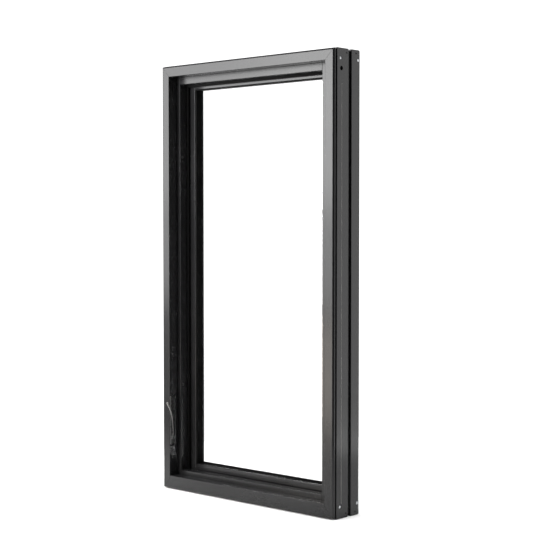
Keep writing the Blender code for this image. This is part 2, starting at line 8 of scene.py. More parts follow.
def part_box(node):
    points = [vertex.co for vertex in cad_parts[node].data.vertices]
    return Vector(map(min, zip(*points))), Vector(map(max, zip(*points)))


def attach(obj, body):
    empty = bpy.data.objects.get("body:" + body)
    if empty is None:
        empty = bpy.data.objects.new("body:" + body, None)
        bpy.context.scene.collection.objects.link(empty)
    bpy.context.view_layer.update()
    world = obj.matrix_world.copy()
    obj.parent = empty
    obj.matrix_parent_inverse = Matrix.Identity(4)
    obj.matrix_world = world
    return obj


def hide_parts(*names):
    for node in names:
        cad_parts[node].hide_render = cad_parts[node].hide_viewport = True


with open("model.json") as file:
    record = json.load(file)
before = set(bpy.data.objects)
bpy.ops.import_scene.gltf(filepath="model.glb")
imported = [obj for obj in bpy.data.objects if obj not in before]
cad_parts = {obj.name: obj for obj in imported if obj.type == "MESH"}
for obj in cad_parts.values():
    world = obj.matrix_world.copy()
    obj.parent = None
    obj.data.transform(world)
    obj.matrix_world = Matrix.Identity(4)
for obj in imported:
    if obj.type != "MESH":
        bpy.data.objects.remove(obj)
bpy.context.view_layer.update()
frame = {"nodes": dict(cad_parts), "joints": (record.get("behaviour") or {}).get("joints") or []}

cad_node = frame["nodes"]

# ---- Outer frame -----------------------------------------------------------------------------
# Four hollow aluminium extrusions, coped at the corners and held by long screws. They are powder
# coated satin black, which leaves a fine orange peel, faint die lines along each length, and a
# sheen that drifts slightly from one stretch to the next.


def linear(hex_colour):
    """An sRGB hex colour as the linear RGBA that a shader's socket takes."""
    channels = [int(hex_colour[start:start + 2], 16) / 255 for start in (1, 3, 5)]
    curve = [c / 12.92 if c <= 0.04045 else ((c + 0.055) / 1.055) ** 2.4 for c in channels]
    return (*curve, 1)


def add_node(tree, kind, settings, links):
    """A shader node with its settings, by socket or by attribute, and its incoming links."""
    made = tree.nodes.new("ShaderNode" + kind)
    for name, value in settings.items():
        if isinstance(name, int) or name in made.inputs:
            made.inputs[name].default_value = value
        else:
            setattr(made, name, value)
    for name, source in links.items():
        tree.links.new(source, made.inputs[name])
    return made


def coated_extrusion(name, length_axis):
    """Powder coat on a drawn length: die lines run along the given axis."""
    coat = bpy.data.materials.new(name)
    coat.use_nodes = True
    tree = coat.node_tree
    shader = tree.nodes["Principled BSDF"]
    at = add_node(tree, "TexCoord", {}, {}).outputs["Object"]
    spacing = [1 / 0.0016] * 3              # die lines 1.6 mm apart, drawn coarse enough to show
    spacing[length_axis] = 1 / 0.5          # and about half a metre long
    run = add_node(tree, "Mapping", {"Scale": spacing}, {"Vector": at}).outputs["Vector"]
    lines = add_node(tree, "TexNoise", {"Scale": 1.0, "Detail": 2.0}, {"Vector": run}).outputs["Fac"]
    peel = add_node(tree, "TexNoise", {"Scale": 1 / 0.0011, "Detail": 1.5},
                    {"Vector": at}).outputs["Fac"]
    drift = add_node(tree, "TexNoise", {"Scale": 1 / 0.14, "Detail": 3.0, "Roughness": 0.6},
                     {"Vector": at}).outputs["Fac"]
    sheen = add_node(tree, "Math", {"operation": "MULTIPLY_ADD", 1: 0.25},
                     {0: lines, 2: drift}).outputs["Value"]
    tint = add_node(tree, "ValToRGB", {}, {"Fac": sheen})
    tint.color_ramp.elements[0].position = 0.35
    tint.color_ramp.elements[0].color = linear("#151516")
    tint.color_ramp.elements[1].position = 1.0
    tint.color_ramp.elements[1].color = linear("#212122")
    gloss = add_node(tree, "MapRange", {"From Min": 0.35, "From Max": 1.0, "To Min": 0.20,
                                        "To Max": 0.29}, {"Value": sheen})
    relief = add_node(tree, "Math", {"operation": "MULTIPLY_ADD", 1: 0.06},
                      {0: lines, 2: peel}).outputs["Value"]
    bump = add_node(tree, "Bump", {"Strength": 0.15, "Distance": 0.00008}, {"Height": relief})
    shader.inputs["Specular IOR Level"].default_value = 0.32
    tree.links.new(tint.outputs["Color"], shader.inputs["Base Color"])
    tree.links.new(gloss.outputs["Result"], shader.inputs["Roughness"])
    tree.links.new(bump.outputs["Normal"], shader.inputs["Normal"])
    return coat


coat_upright = coated_extrusion("powder_coated_aluminium_upright", 2)
coat_level = coated_extrusion("powder_coated_aluminium_level", 0)


def finished_copy(cad_name, name, body, finish, edge=0.0002):
    """A merged copy of a CAD piece with its hard edges broken, which stands for that piece."""
    mesh = cad_node[cad_name].data.copy()
    mesh.name = name
    piece = bpy.data.objects.new(name, mesh)
    bpy.context.scene.collection.objects.link(piece)
    bpy.ops.object.select_all(action="DESELECT")
    piece.select_set(True)
    bpy.context.view_layer.objects.active = piece
    bpy.ops.object.mode_set(mode="EDIT")
    bpy.ops.mesh.select_all(action="SELECT")
    bpy.ops.mesh.customdata_custom_splitnormals_clear()
    bpy.ops.mesh.remove_doubles(threshold=0.00001)
    bpy.ops.mesh.dissolve_limited(angle_limit=math.radians(0.5))
    bpy.ops.object.mode_set(mode="OBJECT")
    if edge:
        bevel = piece.modifiers.new("broken_edges", "BEVEL")
        bevel.width = edge
        bevel.segments = 2
        bevel.limit_method = "ANGLE"
        bevel.angle_limit = math.radians(50)
        bevel.use_clamp_overlap = False
        bpy.ops.object.modifier_apply(modifier=bevel.name)
    bpy.ops.object.shade_smooth_by_angle(angle=math.radians(38))
    level = piece.modifiers.new("flat_faces_stay_flat", "WEIGHTED_NORMAL")
    level.weight = 100
    level.keep_sharp = True
    bpy.ops.object.modifier_apply(modifier=level.name)
    mesh.materials.clear()
    mesh.materials.append(finish)
    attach(piece, body)
    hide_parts(cad_name)


for part, finish in (("jamb_lock", coat_upright), ("jamb_hinge", coat_upright),
                     ("head", coat_level), ("sill", coat_level)):
    finished_copy("frame_" + part, "coated_" + part, "frame", finish)

# ---- Stops -----------------------------------------------------------------------------------
# Four lighter hollow covers that snap in behind the room-side lip and make the second step. They
# are extruded and coated as the frame is.
for part, finish in (("jamb_lock", coat_upright), ("jamb_hinge", coat_upright),
                     ("head", coat_level), ("sill", coat_level)):
    finished_copy("stop_" + part, "coated_stop_" + part, "frame", finish)

# ---- Sash ------------------------------------------------------------------------------------
# Two stiles and two rails of the same coated aluminium, with four beads that snap in outdoors and
# hold the glass.
for part, finish in (("stile_lock", coat_upright), ("stile_hinge", coat_upright),
                     ("rail_top", coat_level), ("rail_bottom", coat_level)):
    finished_copy("sash_" + part, "coated_" + part, "sash", finish)
for side in ("lock", "hinge", "head", "sill"):
    finish = coat_upright if side in ("lock", "hinge") else coat_level
    finished_copy("glazing_bead_" + side, "coated_bead_" + side, "sash", finish)

# ---- Seals -----------------------------------------------------------------------------------
# Extruded EPDM rubber: bulb seals on the back of the stops, and wedge gaskets round the glass.
# It is matt, with a faint dusty bloom and fine draw lines.
seal_rubber = bpy.data.materials.new("extruded_epdm_rubber")
seal_rubber.use_nodes = True
tree = seal_rubber.node_tree
shader = tree.nodes["Principled BSDF"]
at = add_node(tree, "TexCoord", {}, {}).outputs["Object"]
bloom = add_node(tree, "TexNoise", {"Scale": 1 / 0.025, "Detail": 4.0}, {"Vector": at})
grit = add_node(tree, "TexNoise", {"Scale": 1 / 0.0008, "Detail": 1.0}, {"Vector": at})
tint = add_node(tree, "ValToRGB", {}, {"Fac": bloom.outputs["Fac"]})
tint.color_ramp.elements[0].position = 0.35
tint.color_ramp.elements[0].color = linear("#050505")
tint.color_ramp.elements[1].position = 0.75
tint.color_ramp.elements[1].color = linear("#0d0d0d")
gloss = add_node(tree, "MapRange", {"To Min": 0.72, "To Max": 0.88}, {"Value": bloom.outputs["Fac"]})
bump = add_node(tree, "Bump", {"Strength": 0.3, "Distance": 0.0001}, {"Height": grit.outputs["Fac"]})
tree.links.new(tint.outputs["Color"], shader.inputs["Base Color"])
tree.links.new(gloss.outputs["Result"], shader.inputs["Roughness"])
tree.links.new(bump.outputs["Normal"], shader.inputs["Normal"])
shader.inputs["Specular IOR Level"].default_value = 0.1

for side in ("lock", "hinge", "head", "sill"):
    finished_copy("weatherstrip_" + side, "bulb_seal_" + side, "frame", seal_rubber, 0)
    finished_copy("glazing_gasket_" + side, "glass_gasket_" + side, "sash", seal_rubber)

# ---- Glass unit ------------------------------------------------------------------------------
# Two panes of clear float glass with ground edges, a grey warm-edge spacer round the rim between
# them, and nylon setting blocks under the unit.
float_glass = bpy.data.materials.new("clear_float_glass")
float_glass.use_nodes = True
tree = float_glass.node_tree
tree.nodes.remove(tree.nodes["Principled BSDF"])
at = add_node(tree, "TexCoord", {}, {}).outputs["Object"]
facing = add_node(tree, "LayerWeight", {"Blend": 0.5}, {}).outputs["Facing"]
steep = add_node(tree, "Math", {"operation": "POWER", 1: 5.0}, {0: facing}).outputs["Value"]
mirror = add_node(tree, "MapRange", {"To Min": 0.042, "To Max": 1.0}, {"Value": steep})
film = add_node(tree, "TexNoise", {"Scale": 1 / 0.2, "Detail": 3.0}, {"Vector": at}).outputs["Fac"]
haze = add_node(tree, "MapRange", {"To Min": 0.0, "To Max": 0.03}, {"Value": film})
through = add_node(tree, "BsdfTransparent", {"Color": linear("#ffffff")}, {})
reflection = add_node(tree, "BsdfGlossy", {"Color": linear("#ffffff")},
                      {"Roughness": haze.outputs["Result"]})
mixed = add_node(tree, "MixShader", {}, {"Fac": mirror.outputs["Result"], 1: through.outputs["BSDF"],
                                         2: reflection.outputs["BSDF"]})
tree.links.new(mixed.outputs["Shader"], tree.nodes["Material Output"].inputs["Surface"])

for part in ("inner", "outer"):
    finished_copy("glass_" + part, "pane_" + part, "sash", float_glass, 0.0004)

spacer_bar = bpy.data.materials.new("roll_formed_spacer_bar")
spacer_bar.use_nodes = True
tree = spacer_bar.node_tree
shader = tree.nodes["Principled BSDF"]
at = add_node(tree, "TexCoord", {}, {}).outputs["Object"]
pores = add_node(tree, "TexVoronoi", {"Scale": 1 / 0.002}, {"Vector": at})
tint = add_node(tree, "ValToRGB", {}, {"Fac": pores.outputs["Distance"]})
tint.color_ramp.elements[0].position = 0.12
tint.color_ramp.elements[0].color = linear("#101010")
tint.color_ramp.elements[1].position = 0.22
tint.color_ramp.elements[1].color = linear("#343434")
tree.links.new(tint.outputs["Color"], shader.inputs["Base Color"])
shader.inputs["Roughness"].default_value = 0.5
finished_copy("glass_spacer", "spacer_frame", "sash", spacer_bar)

# ---- Nylon parts -----------------------------------------------------------------------------
# Injection moulded black nylon: setting blocks under the glass, guides round the tie bar, and the
# hinges' bushes and washers. The mould's spark texture makes it finely grained and even.
moulded_nylon = bpy.data.materials.new("moulded_black_nylon")
moulded_nylon.use_nodes = True
tree = moulded_nylon.node_tree
shader = tree.nodes["Principled BSDF"]
at = add_node(tree, "TexCoord", {}, {}).outputs["Object"]
grain = add_node(tree, "TexNoise", {"Scale": 1 / 0.0006, "Detail": 2.0}, {"Vector": at})
flow = add_node(tree, "TexNoise", {"Scale": 1 / 0.012, "Detail": 2.0}, {"Vector": at})
tint = add_node(tree, "ValToRGB", {}, {"Fac": flow.outputs["Fac"]})
tint.color_ramp.elements[0].position = 0.3
tint.color_ramp.elements[0].color = linear("#0f0f10")
tint.color_ramp.elements[1].position = 0.75
tint.color_ramp.elements[1].color = linear("#1c1c1d")
gloss = add_node(tree, "MapRange", {"To Min": 0.42, "To Max": 0.6}, {"Value": grain.outputs["Fac"]})
bump = add_node(tree, "Bump", {"Strength": 0.3, "Distance": 0.00008}, {"Height": grain.outputs["Fac"]})
tree.links.new(tint.outputs["Color"], shader.inputs["Base Color"])
tree.links.new(gloss.outputs["Result"], shader.inputs["Roughness"])
tree.links.new(bump.outputs["Normal"], shader.inputs["Normal"])

for part in ("left", "right"):
    finished_copy("setting_block_" + part, "glass_block_" + part, "sash", moulded_nylon,
                  0.0004)
for part in ("lower", "middle", "upper"):
    finished_copy("tie_bar_guide_" + part, "bar_guide_" + part, "frame", moulded_nylon)
for part in ("top", "bottom"):
    finished_copy("hinge_washer_" + part, "stud_washer_" + part, "frame", moulded_nylon)
    finished_copy("hinge_bush_" + part, "stud_bush_" + part, "sash", moulded_nylon)

# ---- Hinge plates ----------------------------------------------------------------------------
# A pressed stainless plate with a riveted stud, one on the head and one on the sill. Linear
# polishing leaves fine lines along the plate.
polished_stainless = bpy.data.materials.new("linished_stainless_steel")
polished_stainless.use_nodes = True
tree = polished_stainless.node_tree
shader = tree.nodes["Principled BSDF"]
at = add_node(tree, "TexCoord", {}, {}).outputs["Object"]
stroke = add_node(tree, "Mapping", {"Scale": (1 / 0.04, 1 / 0.0004, 1 / 0.04)}, {"Vector": at})
scratch = add_node(tree, "TexNoise", {"Scale": 1.0, "Detail": 3.0}, {"Vector": stroke.outputs[0]})
gloss = add_node(tree, "MapRange", {"To Min": 0.25, "To Max": 0.5}, {"Value": scratch.outputs["Fac"]})
bump = add_node(tree, "Bump", {"Strength": 0.2, "Distance": 0.00004},
                {"Height": scratch.outputs["Fac"]})
tint = add_node(tree, "ValToRGB", {}, {"Fac": scratch.outputs["Fac"]})
tint.color_ramp.elements[0].position = 0.3
tint.color_ramp.elements[0].color = linear("#a9a9a7")
tint.color_ramp.elements[1].position = 0.7
tint.color_ramp.elements[1].color = linear("#c9c9c6")
tree.links.new(tint.outputs["Color"], shader.inputs["Base Color"])
tree.links.new(gloss.outputs["Result"], shader.inputs["Roughness"])
tree.links.new(bump.outputs["Normal"], shader.inputs["Normal"])
shader.inputs["Metallic"].default_value = 1.0

for part in ("top", "bottom"):
    finished_copy("hinge_plate_" + part, "stud_plate_" + part, "frame",
                  polished_stainless)
finished_copy("tie_bar", "lock_bar", "tie_bar", polished_stainless)

# ---- Zinc plated parts -----------------------------------------------------------------------
# Steel with bright zinc plating: rollers, keepers, backplate, shaft and screws. The plating has a
# slightly cloudy, crystalline brightness.
zinc_plating = bpy.data.materials.new("bright_zinc_plated_steel")
zinc_plating.use_nodes = True
tree = zinc_plating.node_tree
shader = tree.nodes["Principled BSDF"]
at = add_node(tree, "TexCoord", {}, {}).outputs["Object"]
cloud = add_node(tree, "TexNoise", {"Scale": 1 / 0.003, "Detail": 4.0}, {"Vector": at})
tint = add_node(tree, "ValToRGB", {}, {"Fac": cloud.outputs["Fac"]})
tint.color_ramp.elements[0].position = 0.3
tint.color_ramp.elements[0].color = linear("#9fa2a5")
tint.color_ramp.elements[1].position = 0.7
tint.color_ramp.elements[1].color = linear("#d2d4d6")
gloss = add_node(tree, "MapRange", {"To Min": 0.28, "To Max": 0.45}, {"Value": cloud.outputs["Fac"]})
tree.links.new(tint.outputs["Color"], shader.inputs["Base Color"])
tree.links.new(gloss.outputs["Result"], shader.inputs["Roughness"])
shader.inputs["Metallic"].default_value = 1.0

for part in ("lower", "upper"):
    finished_copy("lock_roller_" + part, "bar_roller_" + part, "tie_bar", zinc_plating)
    finished_copy("keeper_" + part, "sash_keeper_" + part, "sash", zinc_plating)
finished_copy("lock_backplate", "lever_backplate", "frame", zinc_plating)
finished_copy("lever_shaft", "lever_crank", "lever", zinc_plating)

# ---- Corner screws ---------------------------------------------------------------------------
# Pan head screws, zinc plated, driven through the jambs into the head and the sill: a domed head
# with a cross recess, and a shank that ends in a point.
HEAD_RADIUS = 0.0040
HEAD_DEPTH = 0.0026
SHANK_RADIUS = 0.0020
SCREW_LENGTH = 0.0542


def cross_recess(target, top, arm, depth):
    """Cuts a tapered cross into the top of a screw head that points along +Z."""
    for turn in (0, 90):
        bpy.ops.object.select_all(action="DESELECT")
        bpy.ops.mesh.primitive_cube_add(size=1, location=(0, 0, top))
        blade = bpy.context.object
        blade.scale = (2 * arm, 0.3 * arm, 2 * depth)
        blade.rotation_euler[2] = math.radians(turn)
        bpy.ops.object.transform_apply(location=True, rotation=True, scale=True)
        for vert in blade.data.vertices:
            if vert.co.z < top:
                vert.co.x *= 0.55
                vert.co.y *= 0.55
        slot = target.modifiers.new("recess", "BOOLEAN")
        slot.object = blade
        slot.solver = "EXACT"
        bpy.ops.object.select_all(action="DESELECT")
        bpy.context.view_layer.objects.active = target
        target.select_set(True)
        bpy.ops.object.modifier_apply(modifier=slot.name)
        bpy.data.objects.remove(blade)


def pan_screw(name, head_radius, head_depth, shank_radius, length):
    """A screw along Z whose head's top is at the origin and whose point is at -length."""
    bpy.ops.object.select_all(action="DESELECT")
    bpy.ops.mesh.primitive_cylinder_add(vertices=28, radius=head_radius, depth=head_depth,
                                        location=(0, 0, -head_depth / 2))
    screw = bpy.context.object
    screw.name = name
    bpy.ops.object.transform_apply(location=True, rotation=True, scale=True)
    bpy.ops.object.mode_set(mode="EDIT")
    bpy.ops.mesh.select_all(action="DESELECT")
    bpy.ops.object.mode_set(mode="OBJECT")
    for face in screw.data.polygons:
        face.select = face.normal.z > 0.9
    bpy.ops.object.mode_set(mode="EDIT")
    for inset, fall in ((0.12, 0.10), (0.14, 0.06), (0.18, 0.03)):
        bpy.ops.mesh.inset(thickness=inset * head_radius)
        bpy.ops.transform.translate(value=(0, 0, fall * head_depth))
    bpy.ops.mesh.select_all(action="SELECT")
    bpy.ops.transform.translate(value=(0, 0, -0.19 * head_depth))
    bpy.ops.mesh.select_all(action="DESELECT")
    bpy.ops.object.mode_set(mode="OBJECT")
    for face in screw.data.polygons:
        face.select = face.normal.z < -0.9
    bpy.ops.object.mode_set(mode="EDIT")
    bpy.ops.mesh.inset(thickness=head_radius - shank_radius)
    bpy.ops.mesh.extrude_region_move(
        TRANSFORM_OT_translate={"value": (0, 0, -(length - head_depth - 2 * shank_radius))})
    bpy.ops.mesh.extrude_region_move(TRANSFORM_OT_translate={"value": (0, 0, -2 * shank_radius)})
    bpy.ops.transform.resize(value=(0.1, 0.1, 1))
    bpy.ops.object.mode_set(mode="OBJECT")
    cross_recess(screw, 0, 0.45 * head_radius, 0.6 * head_depth)
    bpy.ops.object.shade_smooth_by_angle(angle=math.radians(40))
    screw.data.materials.append(zinc_plating)
    return screw


corner_screw = pan_screw("corner_screw_pattern", HEAD_RADIUS, HEAD_DEPTH, SHANK_RADIUS, SCREW_LENGTH)
for side, facing in (("lock", -1), ("hinge", 1)):
    for level in ("head", "sill"):
        for row in ("front", "back"):
            cad_name = "_".join(("corner_screw", side, level, row))
            low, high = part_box(cad_name)
            middle = (low + high) / 2
            screw = bpy.data.objects.new(cad_name.replace("corner", "jamb"), corner_screw.data.copy())
            bpy.context.scene.collection.objects.link(screw)
            outer = high.x if facing > 0 else low.x
            turn = Matrix.Rotation(math.radians(90 * facing), 4, "Y")
            stopped_at = 23 + 310 * len(level + row) * middle.y     # each screw's own driven angle
            spin = Matrix.Rotation(math.radians(stopped_at), 4, "Z")
            screw.data.transform(Matrix.Translation((outer, middle.y, middle.z)) @ turn @ spin)
            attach(screw, "frame")
            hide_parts(cad_name)
bpy.data.objects.remove(corner_screw)

# ---- Lock plate and lever --------------------------------------------------------------------
# Die-cast zinc with a smooth black e-coat: a long plate with rounded edges, and a slim lever whose
# arm curls toward the room and ends in a fuller tip.
pivot = Vector(next(joint["pos_m"] for joint in frame["joints"] if joint["name"] == "lever_turn"))
cast_lever = bpy.data.materials.new("e_coated_die_cast_zinc")
cast_lever.use_nodes = True
tree = cast_lever.node_tree
shader = tree.nodes["Principled BSDF"]
at = add_node(tree, "TexCoord", {}, {}).outputs["Object"]
cloud = add_node(tree, "TexNoise", {"Scale": 1 / 0.006, "Detail": 3.0}, {"Vector": at})
tint = add_node(tree, "ValToRGB", {}, {"Fac": cloud.outputs["Fac"]})
tint.color_ramp.elements[0].position = 0.3
tint.color_ramp.elements[0].color = linear("#131313")
tint.color_ramp.elements[1].position = 0.75
tint.color_ramp.elements[1].color = linear("#242424")
gloss = add_node(tree, "MapRange", {"To Min": 0.22, "To Max": 0.36}, {"Value": cloud.outputs["Fac"]})
bump = add_node(tree, "Bump", {"Strength": 0.15, "Distance": 0.0001}, {"Height": cloud.outputs["Fac"]})
tree.links.new(tint.outputs["Color"], shader.inputs["Base Color"])
tree.links.new(gloss.outputs["Result"], shader.inputs["Roughness"])
tree.links.new(bump.outputs["Normal"], shader.inputs["Normal"])

# The arm greys toward its tip, more and more from its middle: a painted highlight, patchy like rubbed
# coat.
lever_coat_with_painted_tip_highlight = cast_lever.copy()
lever_coat_with_painted_tip_highlight.name = "e_coated_zinc_painted_highlight_at_tip"
tree = lever_coat_with_painted_tip_highlight.node_tree
shader = tree.nodes["Principled BSDF"]
at = add_node(tree, "TexCoord", {}, {}).outputs["Object"]
highlight_breakup = add_node(tree, "TexNoise", {"Scale": 1 / 0.004, "Detail": 4.0}, {"Vector": at})
height = add_node(tree, "SeparateXYZ", {}, {"Vector": at})
highlight_toward_tip = add_node(tree, "MapRange", {"From Min": pivot.z + 0.030, "From Max": pivot.z + 0.098,
                                         "To Min": 0.0, "To Max": 1.0}, {"Value": height.outputs["Z"]})
patchy_highlight = add_node(tree, "Math", {"operation": "MULTIPLY_ADD", 1: 0.5},
                  {0: highlight_breakup.outputs["Fac"], 2: highlight_toward_tip.outputs["Result"]})
painted_highlight_mask = add_node(tree, "MapRange", {"From Min": 0.2, "From Max": 1.35}, {"Value": patchy_highlight.outputs[0]})
coat_colour = shader.inputs["Base Color"].links[0].from_socket
# painted highlight: grey zinc colour mixed into the coat toward the tip
tip_highlight_colour = add_node(tree, "Mix", {"data_type": "RGBA", 7: linear("#6f6e6c")},
                  {0: painted_highlight_mask.outputs["Result"], 6: coat_colour})
tree.links.new(tip_highlight_colour.outputs[2], shader.inputs["Base Color"])

CORNER_RADIUS = 0.0045
low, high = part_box("lock_escutcheon")
bpy.ops.object.select_all(action="DESELECT")
bpy.ops.mesh.primitive_cube_add(size=1, location=(low + high) / 2, scale=high - low)
lever_plate = bpy.context.object
lever_plate.name = "lever_plate"
bpy.ops.object.transform_apply(location=True, rotation=True, scale=True)
for edge in lever_plate.data.edges:         # the four short edges, which become round corners
    start, end = (lever_plate.data.vertices[index].co for index in edge.vertices)
    edge.select = abs(start.x - end.x) > 0.001
bpy.ops.object.mode_set(mode="EDIT")
bpy.ops.mesh.select_mode(type="EDGE")
bpy.ops.mesh.bevel(offset=CORNER_RADIUS, segments=6, affect="EDGES")
bpy.ops.mesh.select_mode(type="FACE")
bpy.ops.mesh.select_all(action="DESELECT")
bpy.ops.object.mode_set(mode="OBJECT")
for face in lever_plate.data.polygons:
    face.select = face.normal.x > 0.9
bpy.ops.object.mode_set(mode="EDIT")
bpy.ops.mesh.inset(thickness=0.0003)
bpy.ops.mesh.inset(thickness=0.0004)
bpy.ops.mesh.inset(thickness=0.0014)
bpy.ops.mesh.inset(thickness=0.0004)
bpy.ops.transform.translate(value=(-0.0004, 0, 0))
bpy.ops.mesh.select_all(action="DESELECT")
bpy.ops.object.mode_set(mode="OBJECT")
for vert in lever_plate.data.vertices:      # the outer rim falls away in two steps, as cast
    inside = min(vert.co.y - low.y, high.y - vert.co.y, vert.co.z - low.z, high.z - vert.co.z)
    if vert.co.x > high.x - 0.00001 and inside < 0.0002:
        vert.co.x -= 0.0006
    elif vert.co.x > high.x - 0.00001 and inside < 0.0005:
        vert.co.x -= 0.00015
bpy.ops.object.shade_smooth_by_angle(angle=math.radians(38))
lever_plate.data.materials.append(cast_lever)
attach(lever_plate, "frame")
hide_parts("lock_escutcheon")

# The arm is drawn as a round bar of changing girth along a curve in the lever's own plane, and
# runs into the hub with the soft fillet of a casting. A row of ARM is one point's step toward the
# room, its rise above the pivot, and its girth.
HUB_RADIUS = 0.0060
ARM_RADIUS = 0.0021
ARM_SINK = 0.0022
ARM = ((0.0, 0.000, 1.50), (0.0, 0.012, 1.28), (-0.0012, 0.028, 1.05), (-0.0035, 0.048, 0.92),
       (-0.0078, 0.066, 0.90), (-0.0138, 0.082, 1.05), (-0.0205, 0.0935, 1.38),
       (-0.0232, 0.0982, 1.34), (-0.0243, 0.1006, 0.95))
low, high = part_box("lock_lever")
hub_face = high.x
arm_x = hub_face - ARM_SINK
bpy.ops.object.select_all(action="DESELECT")
bpy.ops.mesh.primitive_cylinder_add(vertices=40, radius=HUB_RADIUS, depth=hub_face - low.x,
                                    location=((hub_face + low.x) / 2, pivot.y, pivot.z),
                                    rotation=(0, math.radians(90), 0))
lever = bpy.context.object
lever.name = "lever_arm"
bpy.ops.object.transform_apply(location=True, rotation=True, scale=True)
bpy.ops.object.mode_set(mode="EDIT")
bpy.ops.mesh.select_mode(type="FACE")
bpy.ops.mesh.select_all(action="DESELECT")
bpy.ops.object.mode_set(mode="OBJECT")
for face in lever.data.polygons:
    face.select = face.normal.x > 0.9
bpy.ops.object.mode_set(mode="EDIT")
bpy.ops.mesh.bevel(offset=0.0013, segments=4, affect="EDGES")
bpy.ops.object.mode_set(mode="OBJECT")

bpy.ops.object.select_all(action="DESELECT")
bpy.ops.curve.primitive_bezier_curve_add(location=(0, 0, 0))
arm = bpy.context.object
spline = arm.data.splines[0]
spline.bezier_points.add(len(ARM) - 2)
for point, (out, rise, girth) in zip(spline.bezier_points, ARM):
    point.co = (arm_x, pivot.y + out, pivot.z + rise)
    point.radius = girth
    point.handle_left_type = "AUTO"
    point.handle_right_type = "AUTO"
arm.data.dimensions = "3D"
arm.data.resolution_u = 8
arm.data.bevel_depth = ARM_RADIUS
arm.data.bevel_resolution = 6
arm.data.use_fill_caps = True
bpy.ops.object.convert(target="MESH")
lever.select_set(True)
bpy.context.view_layer.objects.active = lever
bpy.ops.object.join()
remesh = lever.modifiers.new("cast_as_one", "REMESH")
remesh.mode = "VOXEL"
remesh.voxel_size = 0.00032
bpy.ops.object.modifier_apply(modifier=remesh.name)
fillet = lever.modifiers.new("soft_fillets", "SMOOTH")
fillet.factor = 0.5
fillet.iterations = 6
bpy.ops.object.modifier_apply(modifier=fillet.name)
bpy.ops.object.shade_smooth()
lever.data.materials.clear()
lever.data.materials.append(lever_coat_with_painted_tip_highlight)
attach(lever, "lever")
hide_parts("lock_lever")

# The plate's two screws, black as the plate, with a cross recess.
plate_screw = pan_screw("plate_screw_pattern", 0.0028, 0.0010, 0.0014, 0.0105)
plate_screw.data.materials[0] = cast_lever
for part in ("lower", "upper"):
    low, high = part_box("escutcheon_screw_" + part)
    screw = bpy.data.objects.new("plate_screw_" + part, plate_screw.data.copy())
    bpy.context.scene.collection.objects.link(screw)
    middle = (low + high) / 2
    screw.data.transform(Matrix.Translation((high.x, middle.y, middle.z))
                         @ Matrix.Rotation(math.radians(90), 4, "Y")
                         @ Matrix.Rotation(math.radians(35 if part == "lower" else 12), 4, "Z"))
    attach(screw, "frame")
    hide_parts("escutcheon_screw_" + part)
bpy.data.objects.remove(plate_screw)

# ---- Hinge plate screws ----------------------------------------------------------------------
# Two countersunk zinc plated screws hold each hinge plate. They sit flush in its sinks, 48 and
# 22 mm from the stud.
PLATE_THICKNESS = 0.002
STUD_TO_END = 0.012
plate_pin = pan_screw("hinge_screw_pattern", 0.0036, 0.0008, 0.0016, 0.0125)
for level, facing in (("top", -1), ("bottom", 1)):
    low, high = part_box("hinge_plate_" + level)
    stud_x = high.x - STUD_TO_END
    seat = high.z - PLATE_THICKNESS if facing < 0 else low.z + PLATE_THICKNESS
    for mark, shift, stopped_at in (("a", -0.048, 10), ("b", -0.022, 50)):
        screw = bpy.data.objects.new("_".join(("hinge_screw", level, mark)), plate_pin.data.copy())
        bpy.context.scene.collection.objects.link(screw)
        flip = Matrix.Rotation(math.radians(0 if facing > 0 else 180), 4, "X")
        screw.data.transform(Matrix.Translation((stud_x + shift, (low.y + high.y) / 2, seat))
                             @ flip @ Matrix.Rotation(math.radians(stopped_at), 4, "Z"))
        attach(screw, "frame")
bpy.data.objects.remove(plate_pin)

# ---- Plugs -----------------------------------------------------------------------------------
# Two small nylon plugs close the lock's adjusting holes in the lock-side stop: a thin domed head
# with a round lip, on a short stem.
PLUG_RADIUS = 0.0040
for part in ("lower", "upper"):
    low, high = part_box("stop_plug_" + part)
    middle = (low + high) / 2
    bpy.ops.object.select_all(action="DESELECT")
    bpy.ops.mesh.primitive_cylinder_add(vertices=32, radius=PLUG_RADIUS, depth=high.x - low.x,
                                        location=middle, rotation=(0, math.radians(90), 0))
    plug = bpy.context.object
    plug.name = "hole_plug_" + part
    bpy.ops.object.transform_apply(location=True, rotation=True, scale=True)
    bpy.ops.object.mode_set(mode="EDIT")
    bpy.ops.mesh.select_mode(type="FACE")
    bpy.ops.mesh.select_all(action="DESELECT")
    bpy.ops.object.mode_set(mode="OBJECT")
    for face in plug.data.polygons:
        face.select = face.normal.x > 0.9
    bpy.ops.object.mode_set(mode="EDIT")
    bpy.ops.mesh.inset(thickness=0.0004)
    bpy.ops.mesh.inset(thickness=0.0008)
    bpy.ops.transform.translate(value=(-0.0005, 0, 0))
    bpy.ops.mesh.inset(thickness=0.0012)
    bpy.ops.transform.translate(value=(0.0002, 0, 0))
    bpy.ops.object.mode_set(mode="OBJECT")
    bpy.ops.object.shade_smooth_by_angle(angle=math.radians(40))
    plug.data.materials.append(moulded_nylon)
    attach(plug, "frame")
    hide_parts("stop_plug_" + part)

# ---- Jamb beads ------------------------------------------------------------------------------
# A hairline bead is pressed into the outer side of each jamb, 30 mm behind the room-side face. It runs
# between the corner screws and seals against the wall's trim. Its pale grey is a painted highlight
# for the thin bright line along the jamb's side.
BEAD_DEPTH = 0.0298
BEAD_RADIUS = 0.0006
BEAD_SINK = 0.00045
bead_highlight_paint = bpy.data.materials.new("pale_bead_painted_highlight")
bead_highlight_paint.use_nodes = True
tree = bead_highlight_paint.node_tree
shader = tree.nodes["Principled BSDF"]
at = add_node(tree, "TexCoord", {}, {}).outputs["Object"]
bead_tone_noise = add_node(tree, "TexNoise", {"Scale": 1 / 0.03, "Detail": 4.0}, {"Vector": at})
